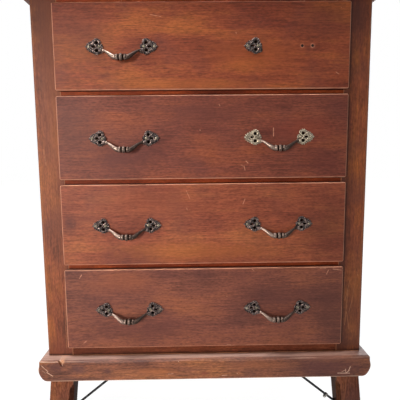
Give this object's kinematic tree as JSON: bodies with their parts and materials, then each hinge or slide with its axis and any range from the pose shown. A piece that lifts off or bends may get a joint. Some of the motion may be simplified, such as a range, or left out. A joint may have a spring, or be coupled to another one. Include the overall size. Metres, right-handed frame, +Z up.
{
  "type": "chest of drawers",
  "caption": "Tall wooden chest of lipped drawers on a thick plank stand with splayed legs and iron braces; cast leaf rosettes carry hanging bail pulls with turned beads.",
  "frame": {"origin": "on the floor, under the middle of the chest's bounding box", "axes": "+Z up, drawers face and open towards -Y, +X to the right as seen from the front"},
  "size_m": [0.8, 0.462, 1.0796],
  "materials": {
    "case_wood": "red-brown stained solid wood, satin varnish, worn at the edges",
    "stand_wood": "red-brown stained thick wood, hand-worn, paler on top",
    "drawer_front_wood": "red-brown stained wood with fine horizontal grain, satin, scratched",
    "secondary_wood": "plain unfinished pine, planed",
    "antique_brass": "dark antiqued cast brass, rubbed brighter on the high spots",
    "black_iron": "black forged iron, slightly rusted",
    "screw_steel": "dark oxidised screw heads"
  },
  "bodies": {
    "chest": {"base_plank": "stand_wood", "front_left_leg": "stand_wood", "front_right_leg": "stand_wood", "rear_left_leg": "stand_wood", "rear_right_leg": "stand_wood", "front_braces": "black_iron", "rear_braces": "black_iron", "brace_screws": "screw_steel", "left_stile": "case_wood", "right_stile": "case_wood", "left_side_panel": "case_wood", "right_side_panel": "case_wood", "back_boards": "secondary_wood", "bottom_rail": "case_wood", "lower_rail": "case_wood", "middle_rail": "case_wood", "upper_rail": "case_wood", "top_rail": "case_wood", "bottom_runners": "secondary_wood", "lower_runners": "secondary_wood", "middle_runners": "secondary_wood", "upper_runners": "secondary_wood", "top_runners": "secondary_wood", "top_board": "case_wood"},
    "drawer_1": {"drawer_1_front": "drawer_front_wood", "drawer_1_sides": "secondary_wood", "drawer_1_back": "secondary_wood", "drawer_1_bottom": "secondary_wood", "drawer_1_left_rosettes": "antique_brass", "drawer_1_right_rosettes": "antique_brass", "drawer_1_screws": "screw_steel"},
    "drawer_1_left_bail": {"drawer_1_left_bail": "antique_brass"},
    "drawer_2": {"drawer_2_front": "drawer_front_wood", "drawer_2_sides": "secondary_wood", "drawer_2_back": "secondary_wood", "drawer_2_bottom": "secondary_wood", "drawer_2_left_rosettes": "antique_brass", "drawer_2_right_rosettes": "antique_brass", "drawer_2_screws": "screw_steel"},
    "drawer_2_left_bail": {"drawer_2_left_bail": "antique_brass"},
    "drawer_2_right_bail": {"drawer_2_right_bail": "antique_brass"},
    "drawer_3": {"drawer_3_front": "drawer_front_wood", "drawer_3_sides": "secondary_wood", "drawer_3_back": "secondary_wood", "drawer_3_bottom": "secondary_wood", "drawer_3_left_rosettes": "antique_brass", "drawer_3_right_rosettes": "antique_brass", "drawer_3_screws": "screw_steel"},
    "drawer_3_left_bail": {"drawer_3_left_bail": "antique_brass"},
    "drawer_3_right_bail": {"drawer_3_right_bail": "antique_brass"},
    "drawer_4": {"drawer_4_front": "drawer_front_wood", "drawer_4_sides": "secondary_wood", "drawer_4_back": "secondary_wood", "drawer_4_bottom": "secondary_wood", "drawer_4_left_rosettes": "antique_brass", "drawer_4_right_rosettes": "antique_brass", "drawer_4_screws": "screw_steel"},
    "drawer_4_left_bail": {"drawer_4_left_bail": "antique_brass"},
    "drawer_4_right_bail": {"drawer_4_right_bail": "antique_brass"}
  },
  "joints": [
    {"name": "drawer_1_slide", "type": "slide", "parent": "chest", "child": "drawer_1", "axis": [0, -1, 0], "range_m": [0, 0.3]},
    {"name": "drawer_1_left_bail_hinge", "type": "hinge", "parent": "drawer_1", "child": "drawer_1_left_bail", "pos_m": [-0.1788, -0.21502, 0.941], "axis": [-1, 0, 0], "range_deg": [0, 95]},
    {"name": "drawer_2_slide", "type": "slide", "parent": "chest", "child": "drawer_2", "axis": [0, -1, 0], "range_m": [0, 0.3]},
    {"name": "drawer_2_left_bail_hinge", "type": "hinge", "parent": "drawer_2", "child": "drawer_2_left_bail", "pos_m": [-0.1788, -0.21502, 0.7406], "axis": [-1, 0, 0], "range_deg": [0, 95]},
    {"name": "drawer_2_right_bail_hinge", "type": "hinge", "parent": "drawer_2", "child": "drawer_2_right_bail", "pos_m": [0.1728, -0.21502, 0.7406], "axis": [-1, 0, 0], "range_deg": [0, 95]},
    {"name": "drawer_3_slide", "type": "slide", "parent": "chest", "child": "drawer_3", "axis": [0, -1, 0], "range_m": [0, 0.3]},
    {"name": "drawer_3_left_bail_hinge", "type": "hinge", "parent": "drawer_3", "child": "drawer_3_left_bail", "pos_m": [-0.1788, -0.21502, 0.5402], "axis": [-1, 0, 0], "range_deg": [0, 95]},
    {"name": "drawer_3_right_bail_hinge", "type": "hinge", "parent": "drawer_3", "child": "drawer_3_right_bail", "pos_m": [0.1728, -0.21502, 0.5402], "axis": [-1, 0, 0], "range_deg": [0, 95]},
    {"name": "drawer_4_slide", "type": "slide", "parent": "chest", "child": "drawer_4", "axis": [0, -1, 0], "range_m": [0, 0.3]},
    {"name": "drawer_4_left_bail_hinge", "type": "hinge", "parent": "drawer_4", "child": "drawer_4_left_bail", "pos_m": [-0.1788, -0.21502, 0.33755], "axis": [-1, 0, 0], "range_deg": [0, 95]},
    {"name": "drawer_4_right_bail_hinge", "type": "hinge", "parent": "drawer_4", "child": "drawer_4_right_bail", "pos_m": [0.1728, -0.21502, 0.33755], "axis": [-1, 0, 0], "range_deg": [0, 95]}
  ]
}
